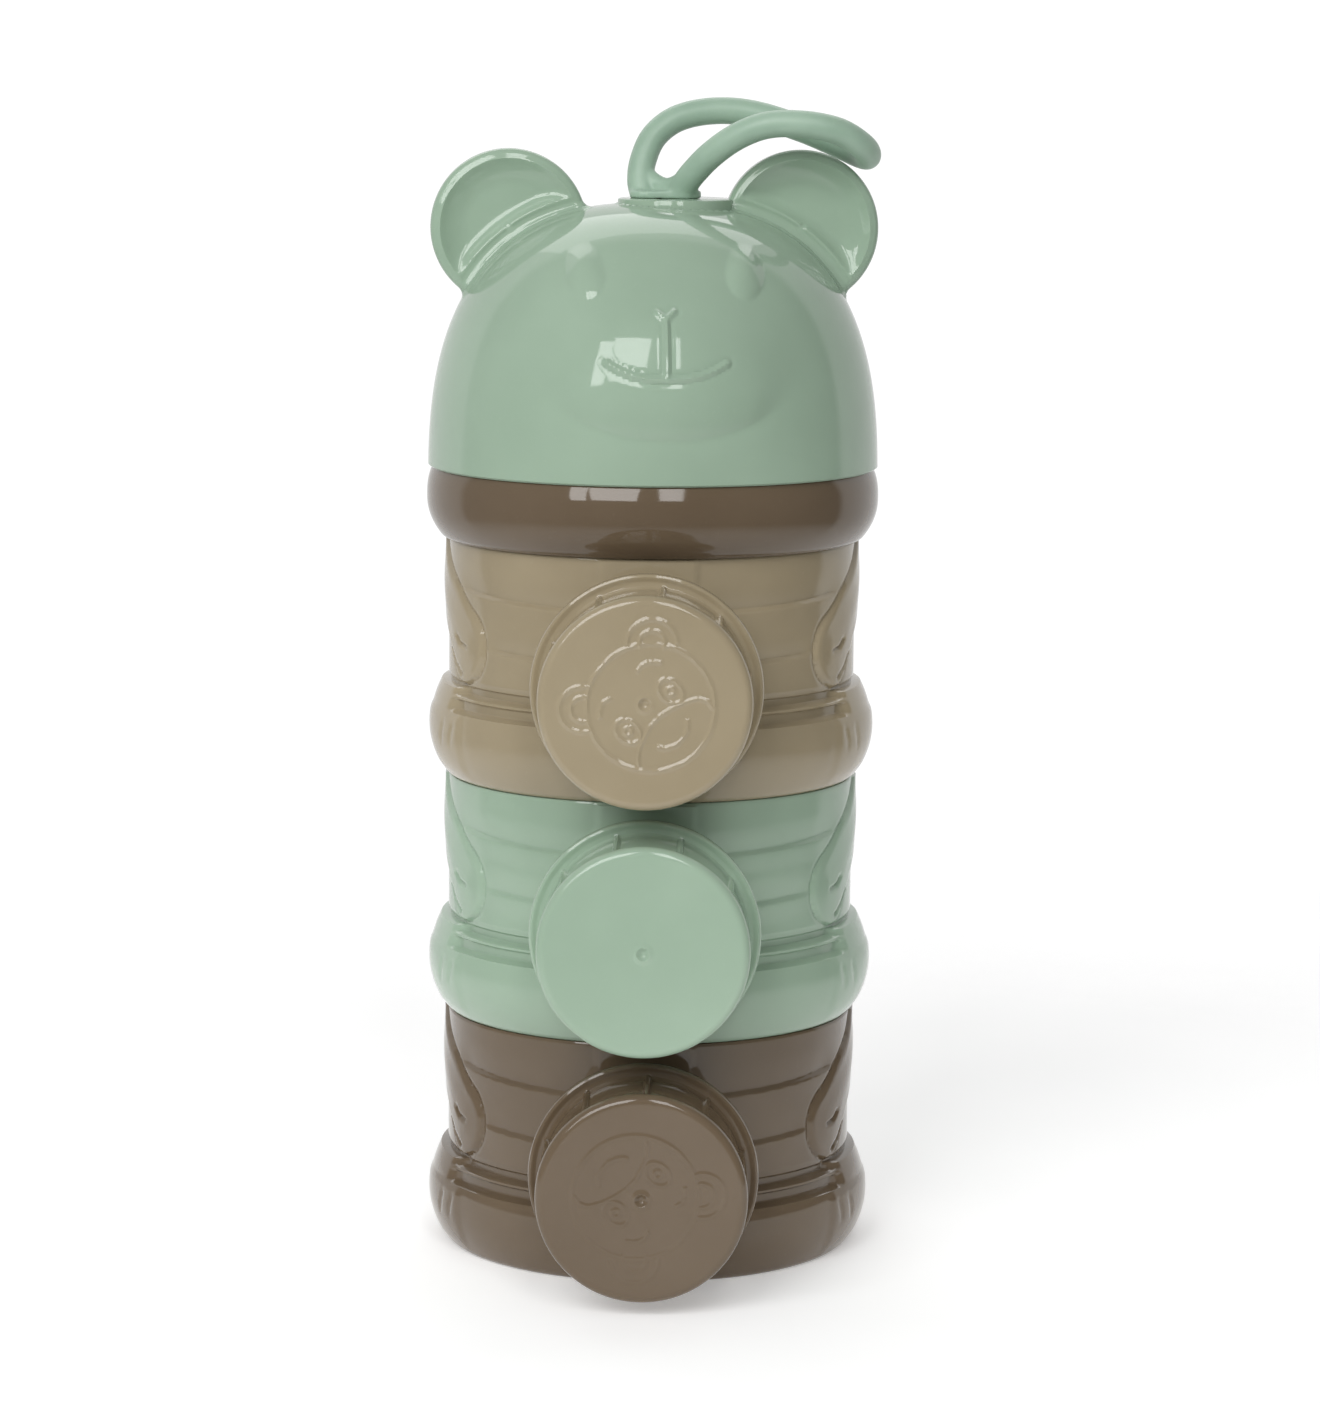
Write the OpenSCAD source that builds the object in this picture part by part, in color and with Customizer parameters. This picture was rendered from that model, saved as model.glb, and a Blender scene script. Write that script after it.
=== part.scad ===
// Stacking formula dispenser: three screw-together containers, each with a capped
// pouring spout, under a screw-on lid whose hollow head carries two ears and a soft loop.
// The stack axis is Z, the spouts point towards -Y and z = 0 is the foot of the stack.

/* [Stack] */
// Height that each container adds to the stack
tier_pitch = 46.7; // [42:0.1:60]
// Outer radius of a container's straight wall
body_r = 40.3; // [37:0.1:50]
// Widest radius of the rounded ring round a container's foot, beyond its wall
ring_bulge = 3.1; // [2.5:0.1:5]
// Height of the rounded ring
ring_h = 18.6; // [17:0.1:22]
// Thickness of the container walls and floors
wall = 2; // [1.6:0.1:2.4]

/* [Stacking thread] */
// Height of the threaded neck on top of each container
neck_h = 7; // [7:0.1:9]
// Step from a container's wall in to its neck
neck_step = 3.7; // [3.5:0.1:4.5]
// Rise of the stacking thread in one turn
stack_lead = 4; // [3.8:0.1:4.4]
// Height of every thread ridge above its wall
thread_h = 1; // [0.8:0.1:1.1]
// Radial clearance between a screwed part and its mate
thread_gap = 0.35; // [0.3:0.05:0.5]
// Thickness of the silicone seals
seal_t = 1.5; // [1.2:0.1:2]

/* [Spout] */
// Outer radius of the spout's threaded neck
spout_r = 15.8; // [13:0.1:16]
// How much narrower the throat to the container is than the spout's bore
throat_step = 1.4; // [1:0.1:3]
// Length of the spout beyond the container's wall
spout_len = 22.3; // [20:0.1:28]
// Wall of the spout's neck
spout_wall = 2.2; // [1.6:0.1:2.6]
// Height of the throat's lowest point above the container's floor
throat_rise = 0.1; // [0:0.1:1]

/* [Spout cap] */
// Rise of the cap thread in one turn
cap_lead = 3; // [2.8:0.1:3.4]
// Wall of the cap round the thread
cap_wall = 2.2; // [1.8:0.1:2.6]
// Thickness of the cap's face
cap_top = 2; // [1.5:0.1:3]
// How far the grip flange stands out from the cap's wall
flange_out = 2.6; // [1.5:0.1:2.8]
// Thickness of the grip flange
flange_t = 2.2; // [1.6:0.1:3]
// Number of grip ribs on a cap
rib_count = 10; // [6:1:14]
// Thickness of the liner disc inside a cap
liner_t = 1.4; // [1:0.1:2]

/* [Lid] */
// Height of the lid's collar
collar_h = 13.8; // [13:0.1:18]
// How far the collar bulges beyond a container's straight wall
collar_bulge = 3.9; // [3.6:0.1:5]
// Height of the neck that the head screws onto
head_neck_h = 6; // [6:0.1:8]

/* [Head] */
// Height of the dome above the collar
dome_h = 51.1; // [45:0.1:62]
// Wall of the dome
dome_wall = 2.2; // [1.8:0.1:2.6]
// Roundness of the dome: 2 is an ellipse, higher is squarer
dome_power = 2.6; // [2.2:0.1:3]
// Radius of an ear
ear_r = 15.2; // [12:0.1:19]
// Thickness of an ear at its rim
ear_t = 5; // [4:0.1:7]
// How far the head is screwed round from facing straight ahead
head_turn = 5; // [-180:1:180]
// How far an ear's centre lies inside the dome's widest radius
ear_inset = 15.6; // [13:0.1:18]
// Depth of an ear's centre below the dome's top
ear_drop = 4.8; // [4:0.1:8]
// Radius of the flat boss under the loop
boss_r = 11.2; // [8:0.1:12]

/* [Carry loop] */
// Height of the loop's highest point above the ears, to the middle of its strand
loop_over_ears = 7.2; // [6:0.1:12]
// How far the loop's far end stops short of the ear's outer edge
loop_inset = 2.4; // [0:0.1:6]
// Radius of the loop's round strand
strand_r = 2.7; // [2:0.1:2.8]
// Radius of the stem that the loop turns on
stem_r = 2.6; // [2:0.1:3]
// Radial clearance between stem and head
stem_gap = 0.05; // [0.02:0.01:0.1]
// Thickness of the loop's oval pad
pad_t = 2.7; // [2:0.1:4]
// Thickness of the washer and of the clip under the head
clip_t = 1.2; // [0.8:0.1:1.6]

/* [Hidden] */
$fn = 96;
mint = "#a6c4a8";
sand = "#a2977f";
cocoa = "#6f6250";
silicone = "#d8d6cc";

// Stacking thread: the neck stands on the shoulder, the socket takes neck and seal
neck_r = body_r - neck_step;
neck_wall = 2.2;
socket_r = neck_r + thread_h + thread_gap;
socket_h = neck_h + seal_t;
floor_top = socket_h + wall;
foot_r = body_r - 0.3;
ring_peak = 0.53 * ring_h;
ring_top_r = body_r + 0.8;
groove_depth = 0.6;
groove_h = 0.7;
shoulder_slope = 3;
cavity_r = body_r - wall;
mouth_r = neck_r - neck_wall;
seal_w = 3.2;
seal_gap = 0.3;

// Thread ridges: widths at the wall and at the crest, and how deep a ridge is rooted
ridge_root_w = 1.7;
ridge_crest_w = 0.9;
ridge_root = 0.5;
ridge_steps = 36;
stack_start = 1.9;
stack_turns = (neck_h - stack_start - 1.5) / stack_lead;
socket_start = 1.1;
head_start = 1.5;
head_socket_start = 1;
head_turns = (head_neck_h - head_start - 1.1) / stack_lead;

// Spout and cap, as distances from the stack axis along the spout
bore_r = spout_r - spout_wall;
throat_r = bore_r - throat_step;
spout_z = floor_top + throat_r + throat_rise;
spout_end = body_r + spout_len;
spout_root = body_r * 0.82;
boss_end = body_r + ring_bulge;
spout_boss_r = spout_r + 3.2;
spout_boss_tip_r = spout_r + 1.4;
cap_start = body_r + ring_bulge + 2.6;
cap_bore_r = spout_r + thread_h + thread_gap;
cap_r = cap_bore_r + cap_wall;
cap_end = spout_end + liner_t + cap_top;
cap_round = 1.6;
cap_draft = 0.3;
flange_r = cap_r + flange_out;
rib_w = 0.9;
rib_out = 1.1;
liner_r = spout_r + 0.6;
cap_turns = 1.4;
cap_ridge_turns = 1.1;
cap_ridge_w = 1.4;
cap_crest_w = 0.7;
spout_ridge_start = spout_end - 7.2;
cap_ridge_start = spout_ridge_start - cap_lead / 2 + cap_lead / 6;

// Lid and head
lid_z = 3 * tier_pitch;
head_z = lid_z + collar_h;
dome_z = head_z - 3.9;
collar_r = body_r + collar_bulge;
dome_r = collar_r - 0.2;
dome_rise = dome_h + 3.9;
head_bore_r = dome_r - dome_wall;
head_neck_r = head_bore_r - thread_h - thread_gap;
head_neck_wall = 2;
head_seal_t = 1.2;
ledge_z = head_z + head_neck_h + head_seal_t;
ledge_t = 1.5;
ledge_w = 3.2;
dome_top = head_z + dome_h;
dome_steps = 18;
ear_x = dome_r - ear_inset;
ear_z = dome_top - ear_drop;
ear_rim = 2.7;
dish_depth = 1.9;
boss_top = dome_top + 0.9;
boss_x = 4;
seat_z = dome_top - dome_wall - 0.6;
seat_r = 8;
washer_r = 6.5;
clip_r = 5;
groove_r = stem_r - 0.7;
clip_gap = 0.1;
stem_end = seat_z - 2 * clip_t - 1.4;
pad_x = 2;
pad_half = 3.6;
pad_r = 3.4;

// Points that the middle of the loop's strand passes, from one side of the pad round the
// far end and back: X in hundredths of the reach, Y in mm and Z in hundredths of the height
loop_reach = ear_x + ear_r - loop_inset;
loop_height = ear_z + ear_r + loop_over_ears - boss_top;
loop_route = [[-6, 1.6, 8], [-7, 2.5, 20], [-6, 4, 42], [-1, 6, 70], [10, 7.6, 91],
    [27, 9, 100], [46, 9.4, 97], [68, 9, 81], [85, 8, 64], [96, 5.4, 52],
    [100, 0.6, 51], [97, -4.6, 63], [86, -7.8, 80], [70, -9, 88], [53, -8.6, 87],
    [39, -7.2, 74], [27, -5.4, 53], [18, -3.4, 30], [14, -2, 16], [13, -1.6, 10]];
loop_points = [for (p = loop_route) [p.x * loop_reach / 100, p.y, p.z * loop_height / 100]];
loop_sides = 10;
loop_steps = 3;

// ---- shared shapes ----

// Point at the fraction t of the stretch from b to c, on a smooth curve through a, b, c and d
function spline_point(a, b, c, d, t) =
    0.5 * (2 * b + (c - a) * t + (2 * a - 5 * b + 4 * c - d) * t * t
    + (3 * b - a - 3 * c + d) * t * t * t);

// Smooth curve through every point, with the given number of steps between two points
function smooth_path(points, steps) = let (last = len(points) - 1) concat(
    [for (i = [0 : last - 1], k = [0 : steps - 1])
        spline_point(points[max(i - 1, 0)], points[i], points[i + 1],
            points[min(i + 2, last)], k / steps)],
    [points[last]]);

function unit(v) = v / norm(v);

function tangent(path, i) =
    unit(path[min(i + 1, len(path) - 1)] - path[max(i - 1, 0)]);

// Sideways directions carried along the path without twisting
function side_directions(path, i = 0, sides = []) =
    i == len(path) ? sides :
    let (t = tangent(path, i), previous = i == 0 ? [0, 1, 0] : sides[i - 1])
    side_directions(path, i + 1, concat(sides, [unit(previous - (previous * t) * t)]));

// Faces that close a strip of rings, each with the given number of points
function ring_faces(rings, sides) = concat(
    [[for (j = [sides - 1 : -1 : 0]) j]],
    [for (i = [0 : rings - 2], j = [0 : sides - 1], half = [0, 1])
        let (k = (j + 1) % sides, a = i * sides, b = (i + 1) * sides)
        half == 0 ? [a + j, a + k, b + k] : [a + j, b + k, b + j]],
    [[for (j = [0 : sides - 1]) (rings - 1) * sides + j]]);

// Round strand along a path
module strand(path, radius, sides) {
    across = side_directions(path);
    points = [for (i = [0 : len(path) - 1], j = [0 : sides - 1])
        let (t = tangent(path, i), u = across[i], v = cross(u, t), a = 360 * j / sides)
        path[i] + radius * (cos(a) * u + sin(a) * v)];
    polyhedron(points, ring_faces(len(path), sides));
}

// Right-hand thread ridge between two radii, with its width at each
module thread_ridge(inner_r, inner_w, outer_r, outer_w, z, start_angle, turns, lead) {
    rings = ceil(ridge_steps * turns);
    points = [for (i = [0 : rings], corner = [0 : 3])
        let (a = start_angle + 360 * turns * i / rings, h = z + lead * turns * i / rings,
            r = corner == 0 || corner == 3 ? inner_r : outer_r,
            w = corner == 0 || corner == 3 ? inner_w : outer_w,
            side = corner < 2 ? -1 : 1)
        [r * cos(a), r * sin(a), h + side * w / 2]];
    polyhedron(points, ring_faces(rings + 1, 4));
}

// Ridge round the outside of a neck
module male_thread(r, z, turns, lead, root_w, crest_w) {
    thread_ridge(r - ridge_root, root_w, r + thread_h, crest_w, z, 0, turns, lead);
}

// Ridge round the inside of a socket, half a lead under the ridge it screws onto
module female_thread(r, z, male_z, turns, lead, root_w, crest_w) {
    turned = 360 * (z - male_z + lead / 2) / lead;
    thread_ridge(r - thread_h, crest_w, r + ridge_root, root_w, z, turned, turns, lead);
}

// Flat ring
module ring(outer_r, inner_r, thickness) {
    difference() {
        cylinder(r = outer_r, h = thickness);
        translate([0, 0, -1]) cylinder(r = inner_r, h = thickness + 2);
    }
}

// Turns a shape's Z axis forwards along the spout
module along_spout(tier) {
    translate([0, 0, tier * tier_pitch + spout_z]) rotate([90, 0, 0]) children();
}

// ---- containers ----

// Radius of the foot ring's outside at height z
function ring_radius(z) =
    let (low = body_r + ring_bulge - foot_r, high = body_r + ring_bulge - ring_top_r)
    body_r + ring_bulge - (z < ring_peak
        ? low * pow((ring_peak - z) / ring_peak, 2)
        : high * pow((z - ring_peak) / (ring_h - ring_peak), 2));

module container_outside() {
    edge = 0.4;
    rotate_extrude() polygon(concat(
        [[0, 0]],
        [for (i = [0 : 9]) let (z = ring_h * i / 9) [ring_radius(z), z]],
        [[body_r - groove_depth, ring_h + 0.2],
         [body_r - groove_depth, ring_h + groove_h],
         [body_r, ring_h + groove_h + 0.6],
         [body_r, tier_pitch - edge],
         [body_r - edge, tier_pitch],
         [neck_r, tier_pitch],
         [neck_r, tier_pitch + neck_h],
         [0, tier_pitch + neck_h]]));
}

module container_cavity() {
    corner = 1.5;
    rotate_extrude() polygon([[0, floor_top],
        [cavity_r - corner, floor_top],
        [cavity_r, floor_top + corner],
        [cavity_r, tier_pitch - wall - shoulder_slope],
        [mouth_r, tier_pitch - wall],
        [mouth_r, tier_pitch + neck_h + 1],
        [0, tier_pitch + neck_h + 1]]);
}

module spout_outside() {
    translate([0, 0, spout_root])
        cylinder(r = spout_boss_r, h = boss_end - 1 - spout_root);
    translate([0, 0, boss_end - 1]) cylinder(r1 = spout_boss_r, r2 = spout_boss_tip_r, h = 1);
    translate([0, 0, spout_root]) cylinder(r = spout_r, h = spout_end - spout_root);
}

module spout_bore() {
    translate([0, 0, spout_root - 1]) cylinder(r = throat_r, h = spout_len + body_r);
    translate([0, 0, boss_end]) cylinder(r = bore_r, h = spout_len);
}

module container(tier) {
    translate([0, 0, tier * tier_pitch]) {
        difference() {
            union() {
                container_outside();
                along_spout(0) spout_outside();
            }
            container_cavity();
            translate([0, 0, -1]) cylinder(r = socket_r, h = socket_h + 1);
            along_spout(0) spout_bore();
        }
        translate([0, 0, tier_pitch])
            male_thread(neck_r, stack_start, stack_turns, stack_lead, ridge_root_w, ridge_crest_w);
        female_thread(socket_r, socket_start, stack_start, stack_turns, stack_lead,
            ridge_root_w, ridge_crest_w);
    }
    along_spout(tier) male_thread(spout_r, spout_ridge_start, cap_turns, cap_lead,
        cap_ridge_w, cap_crest_w);
}

module container_bottom() { color(cocoa) container(0); }
module container_middle() { color(mint) container(1); }
module container_top() { color(sand) container(2); }

// Silicone ring under the floor of the part above, on the rim of the neck
module mouth_seal(tier) {
    color(silicone) translate([0, 0, (tier + 1) * tier_pitch + neck_h])
        ring(neck_r - seal_gap, neck_r - seal_gap - seal_w, seal_t);
}

module mouth_seal_bottom() { mouth_seal(0); }
module mouth_seal_middle() { mouth_seal(1); }
module mouth_seal_top() { mouth_seal(2); }

// ---- spout caps ----

module cap_shell() {
    rotate_extrude() polygon([[0, cap_start],
        [flange_r - 0.5, cap_start],
        [flange_r, cap_start + 0.5],
        [flange_r, cap_start + flange_t - 0.7],
        [flange_r - 0.7, cap_start + flange_t],
        [cap_r + cap_draft, cap_start + flange_t],
        [cap_r, cap_end - cap_round],
        [cap_r - 0.3 * cap_round, cap_end - 0.3 * cap_round],
        [cap_r - cap_round, cap_end],
        [0, cap_end]]);
}

module cap_ribs() {
    rib_len = cap_end - cap_start - cap_round;
    for (i = [0 : rib_count - 1]) rotate([0, 0, 90 + 360 * i / rib_count])
        translate([cap_bore_r + 0.5, -rib_w / 2, cap_start])
        cube([cap_wall + rib_out - 0.5, rib_w, rib_len]);
}

module spout_cap(tier) {
    along_spout(tier) {
        difference() {
            union() {
                cap_shell();
                cap_ribs();
            }
            translate([0, 0, cap_start - 1])
                cylinder(r = cap_bore_r, h = cap_end - cap_top - cap_start + 1);
        }
        female_thread(cap_bore_r, cap_ridge_start, spout_ridge_start, cap_ridge_turns, cap_lead,
            cap_ridge_w, cap_crest_w);
    }
}

module spout_cap_bottom() { color(cocoa) spout_cap(0); }
module spout_cap_middle() { color(mint) spout_cap(1); }
module spout_cap_top() { color(sand) spout_cap(2); }

// Liner disc between the spout's rim and the cap's face
module cap_liner(tier) {
    color(silicone) along_spout(tier) translate([0, 0, spout_end])
        cylinder(r = liner_r, h = liner_t);
}

module cap_liner_bottom() { cap_liner(0); }
module cap_liner_middle() { cap_liner(1); }
module cap_liner_top() { cap_liner(2); }

// ---- lid ----

module lid_base() {
    low = collar_r - foot_r - 1;
    top_r = dome_r - 0.4;
    color(cocoa) translate([0, 0, lid_z]) {
        difference() {
            rotate_extrude() polygon(concat(
                [[0, 0]],
                [for (i = [0 : 8])
                    let (z = collar_h * i / 8, peak = 0.58 * collar_h,
                        drop = z < peak ? low : collar_r - top_r,
                        span = z < peak ? peak : collar_h - peak)
                    [collar_r - drop * pow((z - peak) / span, 2), z]],
                [[head_neck_r, collar_h],
                 [head_neck_r, collar_h + head_neck_h],
                 [0, collar_h + head_neck_h]]));
            translate([0, 0, -1]) cylinder(r = socket_r, h = socket_h + 1);
            translate([0, 0, socket_h + wall])
                cylinder(r = head_neck_r - head_neck_wall, h = collar_h + head_neck_h);
        }
        female_thread(socket_r, socket_start, stack_start, stack_turns, stack_lead,
            ridge_root_w, ridge_crest_w);
        translate([0, 0, collar_h]) male_thread(head_neck_r, head_start, head_turns, stack_lead,
            ridge_root_w, ridge_crest_w);
    }
}

// Silicone ring between the lid's upper neck and the ledge inside the head
module head_seal() {
    outer = head_neck_r - seal_gap;
    color(silicone) translate([0, 0, head_z + head_neck_h])
        ring(outer, head_neck_r - head_neck_wall, head_seal_t);
}

// ---- head ----

// Solid dome from the seam up, with its radius and rise made smaller by an inset
module dome_solid(inset, base_z) {
    r = dome_r - inset;
    rise = dome_rise - inset;
    power = 2 / dome_power;
    first = asin(pow((head_z - dome_z) / rise, 1 / power));
    rotate_extrude() polygon(concat(
        [[0, base_z], [r * pow(cos(first), power), base_z]],
        [for (i = [1 : dome_steps - 1])
            let (a = first + (90 - first) * i / dome_steps)
            [r * pow(cos(a), power), dome_z + rise * pow(sin(a), power)]],
        [[0, dome_z + rise]]));
}

// Round ear with a shallow dish in its front
module ear() {
    dish_edge_r = ear_r - ear_rim;
    dish_r = (pow(dish_edge_r, 2) + pow(dish_depth, 2)) / (2 * dish_depth);
    difference() {
        cylinder(r = ear_r, h = ear_t, center = true);
        translate([0, 0, ear_t / 2 + dish_r - dish_depth]) sphere(r = dish_r);
    }
}

module head_cover() {
    color(mint) {
        difference() {
            union() {
                dome_solid(0, head_z);
                for (side = [-1, 1])
                    rotate([0, 0, head_turn])
                        translate([side * ear_x, 0, ear_z]) rotate([90, 0, 0]) ear();
                translate([boss_x, 0, dome_top - dome_wall / 2])
                    cylinder(r = boss_r, h = boss_top - dome_top + dome_wall / 2);
            }
            difference() {
                dome_solid(dome_wall, head_z - 1);
                translate([0, 0, seat_z]) cylinder(r = seat_r, h = dome_wall + 1);
            }
            translate([0, 0, seat_z - 1])
                cylinder(r = stem_r + stem_gap, h = boss_top - seat_z + 2);
        }
        translate([0, 0, ledge_z])
            ring(head_bore_r + 0.4, head_bore_r - ledge_w, ledge_t);
        translate([0, 0, head_z])
            female_thread(head_bore_r, head_socket_start, head_start, head_turns, stack_lead,
                ridge_root_w, ridge_crest_w);
    }
}

// ---- carry loop ----

module pad_outline() {
    translate([-pad_half, 0]) circle(r = pad_r);
    translate([pad_half, 0]) circle(r = pad_r);
    square([2 * pad_half, 2 * pad_r], center = true);
}

module carry_loop() {
    path = smooth_path(loop_points, loop_steps);
    color(mint) {
        translate([0, 0, boss_top]) strand(path, strand_r, loop_sides);
        translate([pad_x, 0, boss_top]) linear_extrude(pad_t) pad_outline();
        translate([0, 0, seat_z - clip_t]) cylinder(r = stem_r, h = boss_top - seat_z + clip_t + 1);
        translate([0, 0, stem_end]) cylinder(r = groove_r, h = seat_z - stem_end);
        translate([0, 0, stem_end]) cylinder(r = stem_r, h = seat_z - 2 * clip_t - stem_end);
    }
}

// Washer that bears on the flat seat inside the head
module loop_washer() {
    color(silicone) translate([0, 0, seat_z - clip_t])
        ring(washer_r, stem_r + clip_gap, clip_t);
}

// Open clip in the stem's groove
module loop_clip() {
    color(cocoa) translate([0, 0, seat_z - 2 * clip_t]) difference() {
        ring(clip_r, groove_r + clip_gap, clip_t);
        translate([0, -groove_r, -1]) cube([clip_r + 1, 2 * groove_r, clip_t + 2]);
    }
}

container_bottom();
container_middle();
container_top();
mouth_seal_bottom();
mouth_seal_middle();
mouth_seal_top();
spout_cap_bottom();
spout_cap_middle();
spout_cap_top();
cap_liner_bottom();
cap_liner_middle();
cap_liner_top();
lid_base();
head_seal();
head_cover();
carry_loop();
loop_washer();
loop_clip();
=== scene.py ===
from math import asin, atan2, cos, degrees, exp, hypot, pi, radians, sin, sqrt

import bmesh
import bpy
from mathutils import Matrix, Vector


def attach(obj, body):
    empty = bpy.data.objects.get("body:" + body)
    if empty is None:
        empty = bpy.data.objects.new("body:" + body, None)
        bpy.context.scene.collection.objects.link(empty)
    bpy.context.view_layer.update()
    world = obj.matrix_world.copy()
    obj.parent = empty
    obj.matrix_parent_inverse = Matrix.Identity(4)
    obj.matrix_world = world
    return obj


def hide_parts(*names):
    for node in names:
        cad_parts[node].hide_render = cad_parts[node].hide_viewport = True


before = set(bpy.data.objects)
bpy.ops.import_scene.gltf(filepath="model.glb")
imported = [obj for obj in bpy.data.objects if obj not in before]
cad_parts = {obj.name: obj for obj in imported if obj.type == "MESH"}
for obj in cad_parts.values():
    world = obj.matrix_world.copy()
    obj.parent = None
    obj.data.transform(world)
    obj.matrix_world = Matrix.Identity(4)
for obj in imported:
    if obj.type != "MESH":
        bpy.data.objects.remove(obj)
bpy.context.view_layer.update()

mm = 0.001
fullTurn = 2 * pi
seamGap = 0.002 * mm                              # points closer than this are merged
farOff = 99                                       # mm, stands for outside everything


def toLinear(hexText):
    # sRGB hex to a linear colour with full opacity
    parts = [int(hexText[i:i + 2], 16) / 255 for i in (1, 3, 5)]
    return [c / 12.92 if c < 0.04045 else ((c + 0.055) / 1.055) ** 2.4 for c in parts] + [1]


def addNode(tree, kind, settings=None, links=None):
    node = tree.nodes.new(kind)
    for name, value in (settings or {}).items():
        if name in node.inputs:
            node.inputs[name].default_value = value
        else:
            setattr(node, name, value)
    for name, source in (links or {}).items():
        tree.links.new(source, node.inputs[name])
    return node


def ease(low, high, value):
    # 0 below low, 1 above high, smooth between
    t = min(1, max(0, (value - low) / (high - low)))
    return t * t * (3 - 2 * t)


def fillet(radius, gap):
    # how far a surface rises towards another one that stands on it, at that gap
    gap = max(gap, 0.293 * radius)
    return 0 if gap >= radius else radius - sqrt(radius ** 2 - (radius - gap) ** 2)


def toSegment(x, y, ax, ay, bx, by):
    # distance to a straight stretch, and how far along it the nearest point is
    dx, dy = bx - ax, by - ay
    t = min(1, max(0, ((x - ax) * dx + (y - ay) * dy) / (dx * dx + dy * dy)))
    return hypot(x - ax - t * dx, y - ay - t * dy), t


def toLine(x, y, points):
    return min(toSegment(x, y, *a, *b)[0] for a, b in zip(points, points[1:]))


def spaced(start, end, step):
    count = max(1, round(abs(end - start) / step))
    return [start + (end - start) * i / count for i in range(count)]


def spun(outline, steps, closed=False):
    # outline of (radius, height) in mm, turned round Z into a closed skin; steps go in eighths
    shape = bmesh.new()
    points = [shape.verts.new((r * mm, 0, z * mm)) for r, z in outline]
    edges = [shape.edges.new(pair) for pair in zip(points, points[1:])]
    if closed:
        edges.append(shape.edges.new((points[-1], points[0])))
    bmesh.ops.spin(shape, geom=points + edges, cent=(0, 0, 0), axis=(0, 0, 1), dvec=(0, 0, 0),
                   angle=fullTurn / 8, steps=steps // 8)
    for eighths in (1, 2, 4):                     # doubled until it has gone right round
        copy = bmesh.ops.duplicate(shape, geom=shape.verts[:] + shape.edges[:] + shape.faces[:])
        copied = [v for v in copy["geom"] if isinstance(v, bmesh.types.BMVert)]
        bmesh.ops.rotate(shape, verts=copied, cent=(0, 0, 0),
                         matrix=Matrix.Rotation(fullTurn * eighths / 8, 3, "Z"))
    bmesh.ops.remove_doubles(shape, verts=shape.verts, dist=seamGap)
    bmesh.ops.recalc_face_normals(shape, faces=shape.faces)
    return shape


# all threads are right-handed: radius and width at the inner and at the outer side,
# height where it starts, part of a turn where it starts, number of turns, lead
threads = {
    "spout": (15.3, 1.4, 16.8, 0.7, 55.4, 0, 1.4, 3),
    "cap": (16.15, 0.7, 17.65, 1.4, 54.4, (54.4 - 55.4 + 1.5) / 3, 1.1, 3),
    "neck": (36.1, 1.7, 37.6, 0.9, 46.7 + 1.9, 0, 0.9, 4),
    "socket": (36.95, 0.9, 38.45, 1.7, 1.1, (1.1 - 1.9 + 2) / 4, 0.9, 4),
    "lid neck": (39.95, 1.7, 41.45, 0.9, 13.8 + 1.5, 0, 0.85, 4),
    "head": (40.8, 0.9, 42.3, 1.7, 153.9 + 1.0, (1.0 - 1.5 + 2) / 4, 0.85, 4)}
threadSteps = 72                                  # on one turn


def addThread(shape, name):
    # the section of the ridge is spun and climbs the lead on each turn
    innerR, innerW, outerR, outerW, start, startTurn, turns, lead = threads[name]
    ridge = bmesh.new()
    first = startTurn * fullTurn
    corners = [(innerR, -innerW / 2), (outerR, -outerW / 2),
               (outerR, outerW / 2), (innerR, innerW / 2)]
    points = [ridge.verts.new((r * cos(first) * mm, r * sin(first) * mm, (start + z) * mm))
              for r, z in corners]
    section = [ridge.faces.new(points)]
    steps = round(threadSteps * turns)
    bmesh.ops.spin(ridge, geom=section, cent=(0, 0, 0), axis=(0, 0, 1),
                   dvec=(0, 0, lead * turns / steps * mm), angle=fullTurn * turns, steps=steps)
    bmesh.ops.recalc_face_normals(ridge, faces=ridge.faces)
    addTo(shape, ridge)


def addTo(shape, other):
    # copies one shape into another as a separate shell
    spare = bpy.data.meshes.new("spare")
    other.to_mesh(spare)
    shape.from_mesh(spare)
    bpy.data.meshes.remove(spare)
    other.free()


def finishedMesh(shape, name, sharp=32):
    # smooth shaded, with hard edges where the skin turns by more than this many degrees
    bmesh.ops.recalc_face_normals(shape, faces=shape.faces)
    mesh = bpy.data.meshes.new(name)
    shape.to_mesh(mesh)
    shape.free()
    mesh.shade_smooth()
    mesh.set_sharp_from_angle(angle=radians(sharp))
    return mesh


def addPiece(name, mesh, material, body, nodes):
    mesh.materials.clear()
    mesh.materials.append(material)
    piece = bpy.data.objects.new(name, mesh)
    bpy.context.scene.collection.objects.link(piece)
    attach(piece, body)
    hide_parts(*nodes)
    return piece


# distance, height and lens in mm, turn round the object in degrees, the tilts in radians
view = {"distance": 927, "height": 244.6, "down": 0.1473, "round": 1.0, "aside": -0.0019,
        "roll": 0.008, "lens": 121.88, "sensor": 36, "near": 50}

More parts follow.
